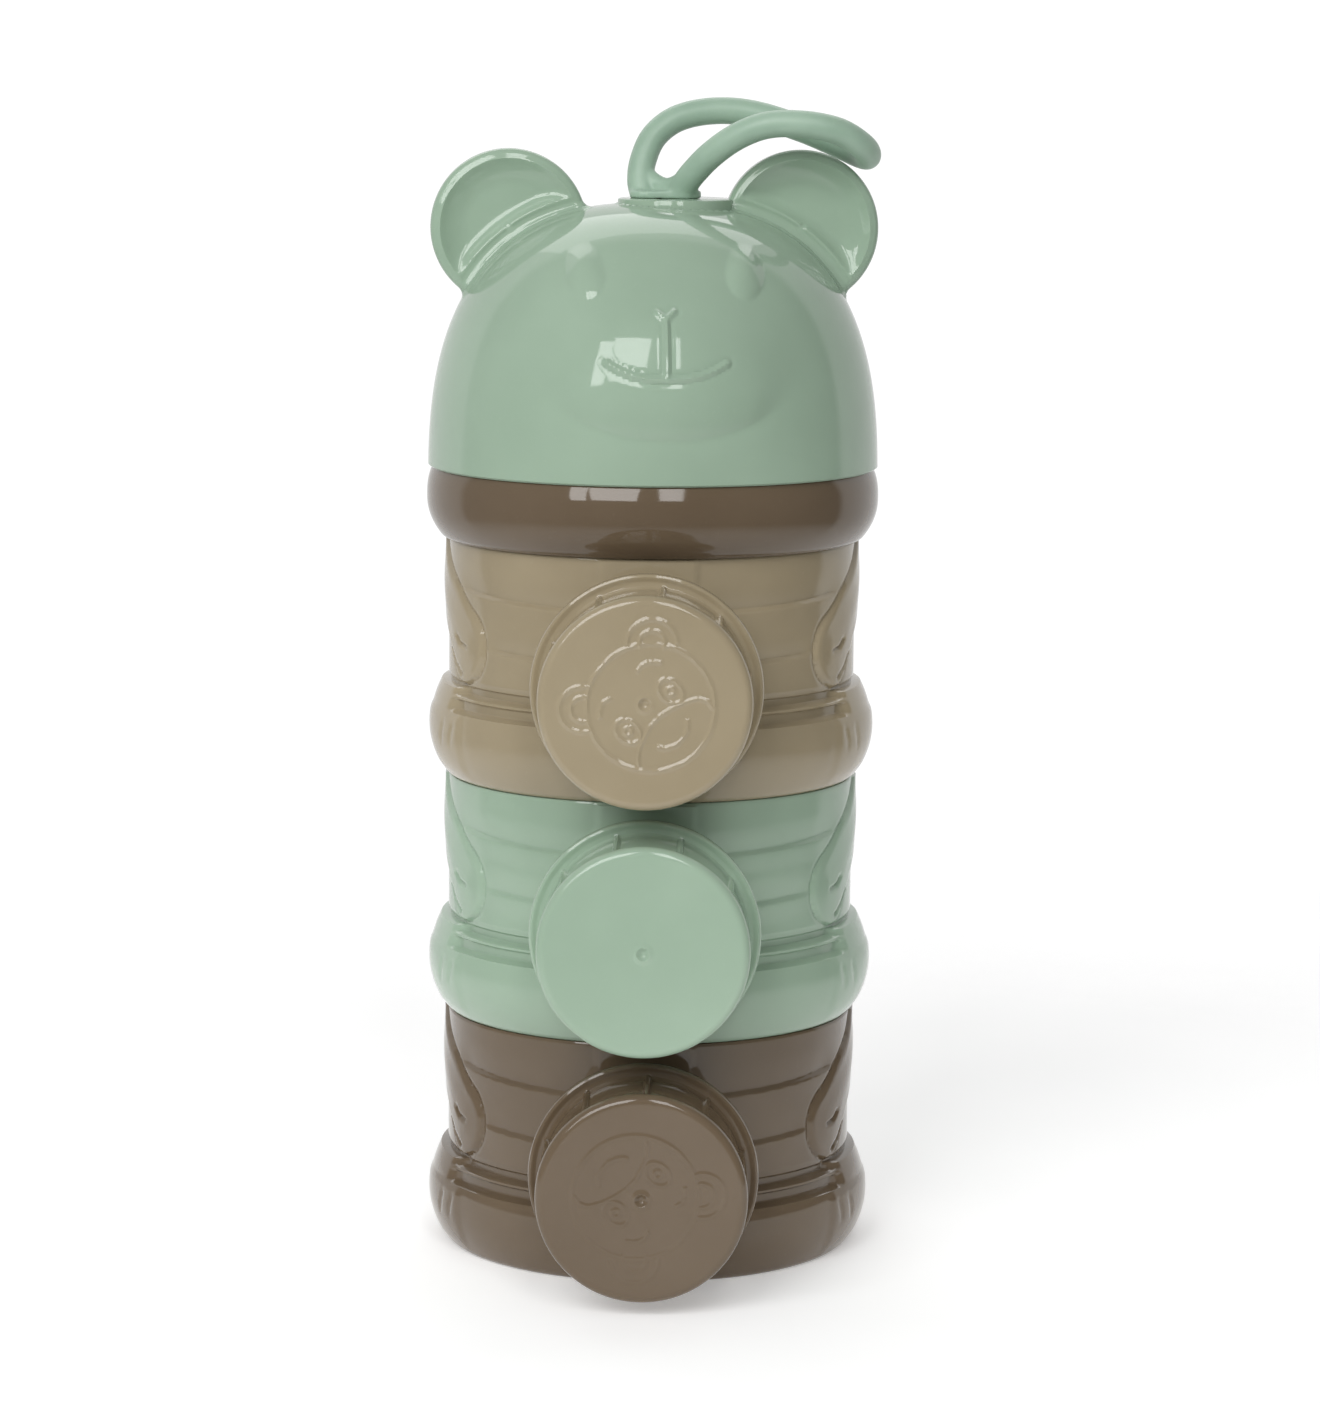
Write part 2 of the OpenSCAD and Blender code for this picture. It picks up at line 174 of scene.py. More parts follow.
cameraData = bpy.data.cameras.new("camera")
cameraData.lens = view["lens"]
cameraData.sensor_width = view["sensor"]
cameraData.clip_start = view["near"] * mm
camera = bpy.data.objects.new("camera", cameraData)
bpy.context.scene.collection.objects.link(camera)
camera.matrix_world = (
    Matrix.Rotation(radians(view["round"]), 4, "Z")
    @ Matrix.Translation((0, -view["distance"] * mm, view["height"] * mm))
    @ Matrix.Rotation(view["aside"], 4, "Z")
    @ Matrix.Rotation(pi / 2 - view["down"], 4, "X")
    @ Matrix.Rotation(view["roll"], 4, "Z"))
bpy.context.scene.camera = camera
print("camera set")


def mouldedPolypropylene(name, main, deep, bright):
    # Injection-moulded polypropylene from a polished mould: clear gloss, a faint cloudiness in
    # the colour where the melt flowed, and a very soft orange peel that breaks reflections up
    material = bpy.data.materials.new(name)
    material.use_nodes = True
    tree = material.node_tree
    tree.nodes.clear()
    place = addNode(tree, "ShaderNodeTexCoord")
    flow = addNode(tree, "ShaderNodeTexNoise",              # clouds about 28 mm across
                   {"Scale": 1 / (28 * mm), "Detail": 3.0, "Roughness": 0.55},
                   {"Vector": place.outputs["Object"]})
    tint = addNode(tree, "ShaderNodeValToRGB", links={"Fac": flow.outputs["Fac"]})
    tint.color_ramp.elements[0].position = 0.34
    tint.color_ramp.elements[0].color = toLinear(deep)
    tint.color_ramp.elements[1].position = 0.68
    tint.color_ramp.elements[1].color = toLinear(main)
    specks = addNode(tree, "ShaderNodeTexNoise",            # pigment grain, drawn at 0.9 mm to show
                     {"Scale": 1 / (0.9 * mm), "Detail": 2.0}, {"Vector": place.outputs["Object"]})
    speckMask = addNode(tree, "ShaderNodeMapRange",
                        {"From Min": 0.62, "From Max": 0.8, "To Max": 0.12},
                        {"Value": specks.outputs["Fac"]})
    colour = addNode(tree, "ShaderNodeMix", {"data_type": "RGBA"})
    tree.links.new(speckMask.outputs["Result"], colour.inputs[0])
    tree.links.new(tint.outputs["Color"], colour.inputs[6])
    colour.inputs[7].default_value = toLinear(bright)
    handling = addNode(tree, "ShaderNodeTexNoise",          # faint handling haze, 11 mm patches
                       {"Scale": 1 / (11 * mm), "Detail": 4.0, "Roughness": 0.6},
                       {"Vector": place.outputs["Object"]})
    gloss = addNode(tree, "ShaderNodeMapRange",
                    {"From Min": 0.3, "From Max": 0.75, "To Min": 0.04, "To Max": 0.1},
                    {"Value": handling.outputs["Fac"]})
    peel = addNode(tree, "ShaderNodeTexNoise",              # waviness of the moulded skin, 7 mm
                   {"Scale": 1 / (7 * mm), "Detail": 1.0}, {"Vector": place.outputs["Object"]})
    bump = addNode(tree, "ShaderNodeBump", {"Strength": 0.35, "Distance": 0.05 * mm},
                   {"Height": peel.outputs["Fac"]})
    shader = addNode(tree, "ShaderNodeBsdfPrincipled",
                     {"IOR": 1.49, "Subsurface Weight": 0.06, "Subsurface Scale": 1.0,
                      "Subsurface Radius": (3 * mm, 3 * mm, 2 * mm)},
                     {"Base Color": colour.outputs[2], "Roughness": gloss.outputs["Result"],
                      "Normal": bump.outputs["Normal"]})
    addNode(tree, "ShaderNodeOutputMaterial", links={"Surface": shader.outputs["BSDF"]})
    return material


def satinMoulding(name, main, deep):
    # Elastomer, silicone or acetal from a finely blasted mould: satin skin without clear
    # reflections, and a dusty bloom that makes the colour a little uneven
    material = bpy.data.materials.new(name)
    material.use_nodes = True
    tree = material.node_tree
    tree.nodes.clear()
    place = addNode(tree, "ShaderNodeTexCoord")
    bloom = addNode(tree, "ShaderNodeTexNoise",             # bloom in patches of about 9 mm
                    {"Scale": 1 / (9 * mm), "Detail": 4.0, "Roughness": 0.6},
                    {"Vector": place.outputs["Object"]})
    tint = addNode(tree, "ShaderNodeValToRGB", links={"Fac": bloom.outputs["Fac"]})
    tint.color_ramp.elements[0].position = 0.35
    tint.color_ramp.elements[0].color = toLinear(deep)
    tint.color_ramp.elements[1].position = 0.7
    tint.color_ramp.elements[1].color = toLinear(main)
    gloss = addNode(tree, "ShaderNodeMapRange",
                    {"From Min": 0.3, "From Max": 0.7, "To Min": 0.36, "To Max": 0.5},
                    {"Value": bloom.outputs["Fac"]})
    blast = addNode(tree, "ShaderNodeTexNoise",             # blasted grain, coarsened to 0.35 mm
                    {"Scale": 1 / (0.35 * mm), "Detail": 2.0}, {"Vector": place.outputs["Object"]})
    bump = addNode(tree, "ShaderNodeBump", {"Strength": 0.25, "Distance": 0.03 * mm},
                   {"Height": blast.outputs["Fac"]})
    shader = addNode(tree, "ShaderNodeBsdfPrincipled",
                     {"IOR": 1.5, "Sheen Weight": 0.12, "Sheen Roughness": 0.5,
                      "Subsurface Weight": 0.08, "Subsurface Scale": 1.0,
                      "Subsurface Radius": (3 * mm, 3 * mm, 2 * mm)},
                     {"Base Color": tint.outputs["Color"], "Roughness": gloss.outputs["Result"],
                      "Normal": bump.outputs["Normal"]})
    addNode(tree, "ShaderNodeOutputMaterial", links={"Surface": shader.outputs["BSDF"]})
    return material


mintPp = mouldedPolypropylene("mintPolypropyleneMoulded", "#9eb5a0", "#98af9a", "#acc1ae")
sandPp = mouldedPolypropylene("sandPolypropyleneMoulded", "#a2957b", "#9b8e74", "#b0a68f")
cocoaPp = mouldedPolypropylene("cocoaPolypropyleneMoulded", "#6a5b49", "#645543", "#7b6d5a")
mintTpe = satinMoulding("mintElastomerMoulded", "#a2bca8", "#98b39f")
clearSilicone = satinMoulding("clearSiliconeMoulded", "#dcdad1", "#cfcdc3")
cocoaAcetal = satinMoulding("cocoaAcetalMoulded", "#6e604f", "#655847")
print("materials made")


jar = {
    "pitch": 46.7, "columns": 480, "wallR": 39.8, "aroundR": 40.3, "footR": 40.0,
    "bulgeR": 43.4, "bulgeZ": 9.86, "ringTopR": 41.1, "ringH": 18.6,
    "neckR": 36.6, "neckTop": 53.7, "mouthR": 34.4, "mouthEnd": 44.7, "cavityR": 38.3,
    "floorTop": 10.5, "floorUnder": 8.5, "socketR": 37.95,
    "spoutZ": 22.8, "spoutR": 15.8, "boreR": 13.6, "throatR": 12.2, "rootZ": 36.4, "rootR": 39.05,
    "bossR": 19.0, "bossTipR": 17.2, "bossEnd": 43.4, "spoutEnd": 62.6, "spoutColumns": 160,
    # aroundR turns angles into mm round the body
    # heights of the outer rows, as (from, to, step), closer where the relief is finer
    "rows": [(1.2, 14.0, 0.8), (14.0, 19.6, 0.2), (19.6, 25.4, 0.45), (25.4, 28.4, 0.22),
             (28.4, 35.6, 0.45), (35.6, 38.8, 0.22), (38.8, 46.0, 0.45)],
    # the ring in front: height where its top starts, radius there, and steps inwards and
    # outwards above it as (from, to, radius before, radius after)
    "frontZ": 14.0, "frontR": 42.85,
    "frontSteps": [(14.0, 14.7, 42.85, 41.0), (16.2, 16.6, 41.0, 41.6), (17.1, 17.5, 41.6, 39.3),
                   (18.7, 19.3, 39.3, 39.8)],
    "sideDegrees": (61, 67),                      # the front gives way to the side between these
    "footDegrees": (55.6, 59.6, 96, 102), "footLift": 0.3, "footTop": 14.5,
    "toeDegrees": (62.5, 68.5), "toeDepth": 0.28,
    "ledges": [(36.5, 68.0), (26.3, 54.0)],       # height in the middle, and degrees where it ends
    "ledgeDip": 0.55, "ledgeLip": 0.22, "ledgeFade": 5, "ledgeStep": 0.9,
    "pedestalHalf": 10.2, "pedestalLift": 0.4, "pedestalTop": 42.0,
    # middle of the arm and paw, as (mm round from the front, height, half width)
    "arm": [(44.7, 24.4, 5.0), (44.3, 27.0, 7.2), (50.4, 32.2, 6.2), (58.6, 36.8, 6.0),
            (66.0, 42.0, 6.0), (69.0, 50.0, 6.2)],
    "armLift": 0.7, "armRound": 1.9, "armCrown": 0.25, "armGroove": 0.28,
    "creases": [[(47.2, 28.6), (45.4, 27.2), (43.0, 26.8)],
                [(50.9, 25.4), (48.2, 22.9), (45.3, 21.3)]],
    "creaseDepth": 0.6, "creaseWidth": 0.42,
    "armpit": [(48.0, 38.2), (56.0, 46.2), (61.5, 46.2), (55.2, 42.0)], "armpitDepth": 1.15}


def ringRadius(z):
    low, high = jar["bulgeR"] - jar["footR"], jar["bulgeR"] - jar["ringTopR"]
    if z < jar["bulgeZ"]:
        return jar["bulgeR"] - low * ((jar["bulgeZ"] - z) / jar["bulgeZ"]) ** 2
    return jar["bulgeR"] - high * ((z - jar["bulgeZ"]) / (jar["ringH"] - jar["bulgeZ"])) ** 2


def sideProfile(z):
    # the foot ring runs right up to the body, with one shallow groove
    if z < jar["ringH"]:
        return ringRadius(z)
    return jar["wallR"] - 0.35 + 1.6 * (1 - ease(18.5, 18.8, z)) + 0.35 * ease(19.2, 19.9, z)


def frontProfile(z):
    # in front the ring stops lower, behind it lie two grooves with a thin lip between them
    if z < jar["frontZ"]:
        return ringRadius(z)
    radius = jar["frontR"] - 0.2 * ease(jar["frontZ"], jar["frontZ"] + 0.3, z)
    for start, end, before, after in jar["frontSteps"]:
        radius += (after - before) * ease(start, end, z)
    return radius


def armDepth(s, z):
    # how far a point lies inside the arm or paw, negative outside
    best = -farOff
    for (ax, az, aw), (bx, bz, bw) in zip(jar["arm"], jar["arm"][1:]):
        gap, t = toSegment(s, z, ax, az, bx, bz)
        best = max(best, aw + (bw - aw) * t - gap)
    return best


def polygonDepth(x, y, corners):
    # depth inside a convex outline that runs anticlockwise seen with x right and y up
    depth = farOff
    for (ax, ay), (bx, by) in zip(corners, corners[1:] + corners[:1]):
        length = hypot(bx - ax, by - ay)
        depth = min(depth, ((bx - ax) * (y - ay) - (x - ax) * (by - ay)) / length)
    return depth


def footRelief(away, s, z):
    # soft raised foot at the side of the ring, with two toe lines
    inner, innerEnd, outer, outerEnd = jar["footDegrees"]
    foot = ease(inner, innerEnd, away) * (1 - ease(outer, outerEnd, away))
    lift = jar["footLift"] * foot * ease(0.6, 3, z) * (1 - ease(12.6, 14.4, z))
    for toe in jar["toeDegrees"]:
        line = [(radians(toe) * jar["aroundR"], 8.2), (radians(toe - 1.6) * jar["aroundR"], 11.6)]
        lift -= jar["toeDepth"] * exp(-(toLine(s, z, line) / 0.6) ** 2)
    return lift


def ledgeRelief(away, z):
    # each chest ledge is a thin lip over a shallow dip, and bows up towards the sides
    dip, lip, fade, step = jar["ledgeDip"], jar["ledgeLip"], jar["ledgeFade"], jar["ledgeStep"]
    lift = 0
    for middle, last in jar["ledges"]:
        t = z - middle - 1.1 * (away / 52) ** 2
        shape = 0
        if 0 <= t < fade:
            shape = -dip * (1 - t / fade) ** 1.7
        elif -step <= t < 0:
            shape = -dip + (dip + lip) * ease(0, step, -t)
        elif -fade <= t < -step:
            shape = lip * (1 - ease(step, fade, -t))
        lift += shape * (1 - ease(last - 9, last, away))
    return lift


def jarRadius(turn, z):
    # outer radius of a container at an angle from the front and a height above its foot
    away = abs(degrees(turn))
    s = radians(away) * jar["aroundR"]
    side = ease(*jar["sideDegrees"], away)
    radius = jar["wallR"]
    if z < 20:
        radius = frontProfile(z) * (1 - side) + sideProfile(z) * side
    if z < jar["footTop"]:
        radius += footRelief(away, s, z)
    if z < 19 or z > 46.1:
        return radius
    depth = armDepth(s, z) if 30 < s < 80 else -farOff
    front = ledgeRelief(away, z)
    if z > 19.3:
        radius += front
    if s < 22:                                    # pedestal that carries the spout
        half = jar["pedestalHalf"] + 0.8 * max(0, jar["pedestalTop"] - z)
        pedestal = ease(0, 1.5, half - s) * ease(19.3, 20.5, z)
        radius += jar["pedestalLift"] * pedestal - front * pedestal * 0.6
    if depth > -2:
        edge = min(1, max(0, depth / jar["armRound"]))
        radius -= front * ease(-0.1, 0.5, depth)  # the ledges stop at the arm
        radius += jar["armLift"] * sqrt(1 - (1 - edge) ** 2)
        radius -= jar["armGroove"] * exp(-((depth + 0.35) / 0.4) ** 2)
        radius += jar["armCrown"] * ease(1.5, 6, depth)
    for crease in jar["creases"]:
        gap = toLine(s, z, crease)
        radius -= jar["creaseDepth"] * exp(-(gap / jar["creaseWidth"]) ** 2)
    pit = polygonDepth(s, z, jar["armpit"])
    if pit > -0.1:
        radius -= jar["armpitDepth"] * ease(-0.1, 0.55, pit) * (1 - ease(-0.4, 0.2, depth))
    return radius


def jarShell():
    # one skin: socket under the floor, outer side, neck, mouth, chamber and floor
    under, socket, foot, neck = jar["floorUnder"], jar["socketR"], jar["footR"], jar["neckR"]
    top, neckTop, mouth, cavity = jar["pitch"], jar["neckTop"], jar["mouthR"], jar["cavityR"]
    floor, wall = jar["floorTop"], jar["wallR"]
    rows = [0.7]
    for start, end, step in jar["rows"]:
        rows += spaced(start, end, step)
    rows += [46.0, 46.3]
    skinR = 50                                    # marks the outer skin until it gets its relief
    outline = [(0, under), (20, under), (socket - 0.5, under), (socket, under - 0.5),
               (socket, 0.5), (socket + 0.4, 0), (foot - 0.6, 0), (foot - 0.12, 0.2)]
    outline += [(skinR, z) for z in rows]
    outline += [(wall - 0.15, top - 0.12), (wall - 0.5, top), (neck + 0.5, top), (neck, top + 0.5),
                (neck, neckTop - 0.5), (neck - 0.5, neckTop), (mouth + 0.4, neckTop),
                (mouth, neckTop - 0.4), (mouth, jar["mouthEnd"])]
    outline += [(cavity, z) for z in spaced(41.7, 36, 1.5) + spaced(36, 12.2, 1.0)]
    outline += [(cavity, 12.0), (cavity - 0.4, floor + 0.45), (cavity - 1.5, floor), (20, floor),
                (0, floor)]
    shape = spun(outline, jar["columns"])
    for v in shape.verts:
        r = hypot(v.co.x, v.co.y) / mm
        if r > skinR - 1:
            scale = jarRadius(atan2(v.co.x, -v.co.y), v.co.z / mm) / r
            v.co.x *= scale
            v.co.y *= scale
    openThroat(shape)
    return shape


def openThroat(shape):
    # cuts the way from the chamber into the spout through the wall, and joins its two rims
    centre = jar["spoutZ"]
    gone = []
    for face in shape.faces:
        middle = face.calc_center_median() / mm
        inThroat = middle.y < -30 and hypot(middle.x, middle.z - centre) < jar["throatR"]
        inWall = hypot(middle.x, middle.y) > jar["cavityR"] - 0.6
        if inThroat and inWall and middle.z > jar["floorTop"] + 0.1:
            gone.append(face)
    bmesh.ops.delete(shape, geom=gone, context="FACES")
    rims = [e for e in shape.edges if e.is_boundary]
    for v in {v for e in rims for v in e.verts}:
        r = hypot(v.co.x, v.co.y)
        x, z = v.co.x / mm, v.co.z / mm - centre
        grow = jar["throatR"] / hypot(x, z)
        v.co.x = x * grow * mm
        v.co.z = max(z * grow + centre, jar["floorTop"] + 0.05) * mm
        v.co.y = -sqrt(r * r - v.co.x ** 2)
    bmesh.ops.bridge_loops(shape, edges=rims)


def alongSpout(shape, tier):
    # turns a shape's Z axis forwards along the spout of a tier
    up = (jar["spoutZ"] + tier * jar["pitch"]) * mm
    bmesh.ops.transform(shape, verts=shape.verts,
                        matrix=Matrix.Translation((0, 0, up)) @ Matrix.Rotation(pi / 2, 4, "X"))


def spoutShell():
    # boss against the body, and the spout with its bore
    root, bore, boss, tip = jar["rootZ"], jar["boreR"], jar["bossR"], jar["bossTipR"]
    spout, step, end = jar["spoutR"], jar["bossEnd"], jar["spoutEnd"]
    shape = spun([(bore, root), (boss, root), (boss, step - 1.2), (boss - 0.2, step - 0.9),
                  (tip + 0.2, step - 0.15), (tip - 0.2, step), (spout + 0.4, step),
                  (spout, step + 0.4), (spout, end - 0.5), (spout - 0.4, end), (bore + 0.3, end),
                  (bore, end - 0.3)], jar["spoutColumns"], closed=True)
    for v in shape.verts:                         # the root is bent round inside the wall
        if v.co.z < (root + 0.1) * mm:
            v.co.z = sqrt((jar["rootR"] * mm) ** 2 - v.co.x ** 2)
    addThread(shape, "spout")
    alongSpout(shape, 0)
    return shape


jarShape = jarShell()
addTo(jarShape, spoutShell())
addThread(jarShape, "neck")
addThread(jarShape, "socket")
jarMesh = finishedMesh(jarShape, "jar")
# level, body, material and slot
tiers = [("bottom", "base", cocoaPp, "cocoa_shell"), ("middle", "middle", mintPp, "mint_shell"),
         ("top", "top", sandPp, "sand_shell")]
for number, (level, body, material, slot) in enumerate(tiers):
    mesh = jarMesh.copy()
    mesh.name = "jar_" + level
    mesh.transform(Matrix.Translation((0, 0, number * jar["pitch"] * mm)))
    addPiece("jar_" + level, mesh, material, body, ["container_" + level])
bpy.data.meshes.remove(jarMesh)
print("containers made")


cap = {"columns": 480, "start": 46.0, "end": 66.0, "relief": 0.3, "top": 2.0, "boreR": 17.15,
       "flangeR": 21.95, "flangeT": 2.2, "bodyR": 19.95, "draft": 0.3, "round": 1.6,
       "ribs": 10, "ribW": 0.9, "ribOut": 1.05, "lineLift": 0.28, "lineWidth": 0.36,
       "phase": {"bottom": 2.5, "middle": 20.0, "top": 8.5},     # degrees that each was screwed to
       "emblem": {"top": (1.0, 0.0), "bottom": (0.35, 180.0)}}   # strength, and degrees turned left

# raised lines of the little bear face, in mm right and up from the cap's centre
bearArcs = [                                      # centre, half sizes, tilt, first and last degree
    (1.1, -0.5, 11.8, 11.8, 0, 0, 360), (1.25, 11.2, 4.6, 4.6, 0, 5, 180),
    (1.25, 11.4, 2.35, 2.3, 0, -20, 195), (-11.5, -1.0, 4.2, 4.2, 0, 75, 290),
    (-11.3, -1.0, 2.3, 2.3, 0, 70, 290), (4.7, 2.5, 2.6, 1.9, -45, 0, 360),
    (4.7, 2.5, 0.7, 0.7, 0, 0, 360), (-3.05, -5.0, 2.6, 1.9, -40, 0, 360),
    (-3.05, -5.0, 0.7, 0.7, 0, 0, 360)]
bearLines = [
    [(-1.4, 6.2), (-0.7, 7.2), (0.3, 7.8), (1.5, 8.0), (2.8, 7.8)],
    [(-8.2, -2.4), (-8.2, -1.0), (-7.7, 0.3), (-6.6, 1.0)],
    [(12.6, -0.7), (11.6, 0.7), (9.8, 1.25), (7.3, 0.55), (4.8, -0.7), (2.6, -2.2), (1.0, -4.0),
     (-0.1, -6.2), (-1.0, -8.4), (-1.2, -10.0), (-1.0, -11.2)],
    [(7.9, -2.9), (7.9, -4.6), (7.1, -6), (6.1, -7.2), (4.85, -7.8), (3.6, -8.1), (2.6, -7.9)]]


def toArc(x, y, cx, cy, rx, ry, tilt, first, last):
    # distance to part of an oval
    tilt = radians(tilt)
    u = ((x - cx) * cos(tilt) + (y - cy) * sin(tilt)) / rx
    v = ((y - cy) * cos(tilt) - (x - cx) * sin(tilt)) / ry
    at = degrees(atan2(v, u)) % 360
    if at > last and at - 360 >= first - 90:
        at -= 360
    past = radians(max(0, first - at, at - last)) * rx
    return hypot((hypot(u, v) - 1) * (rx + ry) / 2, past)


def toBear(x, y):
    gap = min(toArc(x, y, *arc) for arc in bearArcs)
    if gap <= 0.3:                                # on a line already
        return gap
    return min(gap, min(toLine(x, y, line) for line in bearLines))


def capOutline(skirt, front):
    # grip flange at the rear, skirt between the ribs, rounded rim, face, and the inside
    edge, start, flange, body = cap["round"], cap["start"], cap["flangeR"], cap["bodyR"]
    under = front - cap["top"]
    shoulder = front - edge
    outline = [(cap["boreR"], start + 0.3), (cap["boreR"] + 0.3, start), (flange - 0.5, start),
               (flange - 0.15, start + 0.15), (flange, start + 0.5), (flange, start + 1.6),
               (flange - 0.18, start + 2.0), (flange - 0.55, start + cap["flangeT"]),
               (flange - 0.95, start + 2.15), (flange - 1.25, start + 1.95),
               (skirt + 1.4, start + 1.9), (skirt + 0.8, start + 2.05), (skirt + 0.45, start + 2.5)]
    outline += [(skirt + cap["draft"] * (shoulder - z) / 16, z)
                for z in spaced(start + 3.0, shoulder - 1.0, 1.2)]
    outline += [(skirt, shoulder - 1.0), (skirt + 0.1, shoulder - 0.6),
                (skirt + 0.5, shoulder - 0.3), (body - 0.2, shoulder - 0.18)]
    outline += [(body - edge + edge * cos(a), shoulder + edge * sin(a))
                for a in [radians(d) for d in range(0, 90, 10)]]
    outline += [(r, front) for r in spaced(body - edge, 0.3, 0.32)] + [(0.3, front), (0, front)]
    return outline + [(0, under), (15.5, under), (16.8, under), (cap["boreR"], under - 0.4),
                      (cap["boreR"], 56)]


def capShape(level):
    front = cap["end"] - cap["relief"]
    skirt = cap["bodyR"] - cap["ribOut"]
    ribStart, ribEnd = cap["start"] + 1.8, front - cap["round"] - 0.1
    shape = spun(capOutline(skirt, front), cap["columns"], closed=True)
    phase = radians(cap["phase"][level])
    pitch = fullTurn / cap["ribs"]
    strength, turned = cap["emblem"].get(level, (0, 0))
    turned = radians(turned)
    for v in shape.verts:
        x, y, z = v.co / mm
        r = hypot(x, y)
        if skirt - 0.1 < r < cap["bodyR"] + 1 and ribStart < z < ribEnd:
            # angle from the nearest rib, counted from straight up
            off = (atan2(x, y) - phase + pitch / 2) % pitch - pitch / 2
            gap = abs(off) * r - cap["ribW"] / 2
            lift = max(0, cap["bodyR"] - 0.02 - r) * (1 - ease(-0.18, 0.28, gap))
            v.co.x *= (r + lift) / r
            v.co.y *= (r + lift) / r
        if z > front - 0.01:                      # gate mark in the middle, and the face lines
            sink = 0.55 * exp(-(r / 0.85) ** 4) - 0.16 * exp(-((r - 1.35) / 0.4) ** 2)
            if strength and r < 16.5:
                gap = toBear(x * cos(turned) + y * sin(turned), y * cos(turned) - x * sin(turned))
                sink -= cap["lineLift"] * strength * exp(-(gap / cap["lineWidth"]) ** 2)
            v.co.z -= sink * mm
    addThread(shape, "cap")
    return shape


for number, (level, body, material, slot) in enumerate(tiers):
    shape = capShape(level)
    alongSpout(shape, number)
    addPiece("cap_" + level, finishedMesh(shape, "cap_" + level), material, "cap_" + level,
             ["spout_cap_" + level])
print("caps made")


lid = {"z": 140.1, "height": 13.8, "rows": 28, "bulgeR": 44.18, "bulgeAt": 0.58, "footIn": 3.2,
       "topIn": 1.1, "columns": 256, "neckR": 40.45, "neckTop": 19.8, "boreR": 38.45}


def lidShape():
    # bulging collar with a socket below and a neck for the head above
    socket, under, floor = jar["socketR"], jar["floorUnder"], jar["floorTop"]
    neck, top, bore, height = lid["neckR"], lid["neckTop"], lid["boreR"], lid["height"]
    peak = lid["bulgeAt"] * height
    outline = [(0, under), (socket - 0.5, under), (socket, under - 0.5), (socket, 0.5),
               (socket + 0.4, 0)]
    for i in range(lid["rows"] + 1):
        z = height * i / lid["rows"]
        if z < peak:
            r = lid["bulgeR"] - lid["footIn"] * ((peak - z) / peak) ** 2.2
        else:
            r = lid["bulgeR"] - lid["topIn"] * ((z - peak) / (height - peak)) ** 2.6
        outline.append((r - 0.3 if i == 0 else r, z))
    outline += [(42.6, height), (42.2, height - 0.25), (neck + 0.4, height - 0.25),
                (neck, height + 0.1), (neck, top - 0.5), (neck - 0.5, top), (bore + 0.4, top),
                (bore, top - 0.4), (bore, floor + 1), (bore - 1.05, floor), (0, floor)]
    shape = spun(outline, lid["columns"])
    addThread(shape, "socket")
    addThread(shape, "lid neck")
    bmesh.ops.translate(shape, verts=shape.verts, vec=(0, 0, lid["z"] * mm))
    return shape


addPiece("lid_collar", finishedMesh(lidShape(), "lid_collar"), cocoaPp, "lid", ["lid_base"])
print("lid made")


head = {"baseZ": 153.9, "domeZ": 150.0, "r": 44.0, "rise": 55.0, "power": 2.6, "wall": 2.2,
        "turn": 5.0, "columns": 360, "rows": 168, "crowd": 0.5, "crownZ": 204.98,
        "earX": 28.4, "earZ": 200.2, "earR": 15.2, "earT": 5.0, "earRound": 1.5,
        "earColumns": 216, "rim": 2.1, "dish": 1.9, "join": 1.7,
        "bossX": 4.0, "bossR": 11.2, "bossTop": 205.9, "bossFoot": 203.6, "bossColumns": 160,
        "seatZ": 202.2, "seatR": 8, "holeR": 2.65, "ledgeR": 38.6, "throatR": 41.8,
        # middle and half sizes, seen from the front
        "eyes": (15.1, 193.3, 3.9, 5.2), "eyeLift": 1.05,
        "muzzle": (0.0, 178.0, 27.0, 15.3), "muzzleLift": 2.4,
        # nose line, nose and mouth
        "lines": [[(-0.5, 173.8), (-0.5, 184.4)], [(-2.1, 185.7), (-0.5, 184.3), (1.0, 185.8)],
                  [(-11.3, 176.6), (-9.2, 175.3), (-6.4, 174.2), (-3.6, 173.7), (-0.6, 173.55),
                   (2.5, 173.7), (5.4, 174.2), (7.9, 175.1), (10.5, 176.5)]],
        "lineLift": 0.55, "lineWidth": 0.5}


def domeRadius(z, inset=0):
    up = min(1, max(0, (z - head["domeZ"]) / (head["rise"] - inset)))
    return (head["r"] - inset) * (1 - up ** head["power"]) ** (1 / head["power"])


def domeGap(r, z):
    # distance outside the dome's skin, good near the skin
    p = head["power"]
    a, b = r / head["r"], max(0, z - head["domeZ"]) / head["rise"]
    g = (a ** p + b ** p) ** (1 / p)
    slope = g ** (1 - p) * hypot(a ** (p - 1) / head["r"], b ** (p - 1) / head["rise"])
    return (g - 1) / slope


def domeNormal(x, y, z):
    # which way the dome's skin faces
    p = head["power"]
    r = max(1e-6, hypot(x, y))
    out = (r / head["r"]) ** (p - 1) / head["r"]
    up = (max(0, z - head["domeZ"]) / head["rise"]) ** (p - 1) / head["rise"]
    return Vector((x / r * out, y / r * out, up)).normalized()


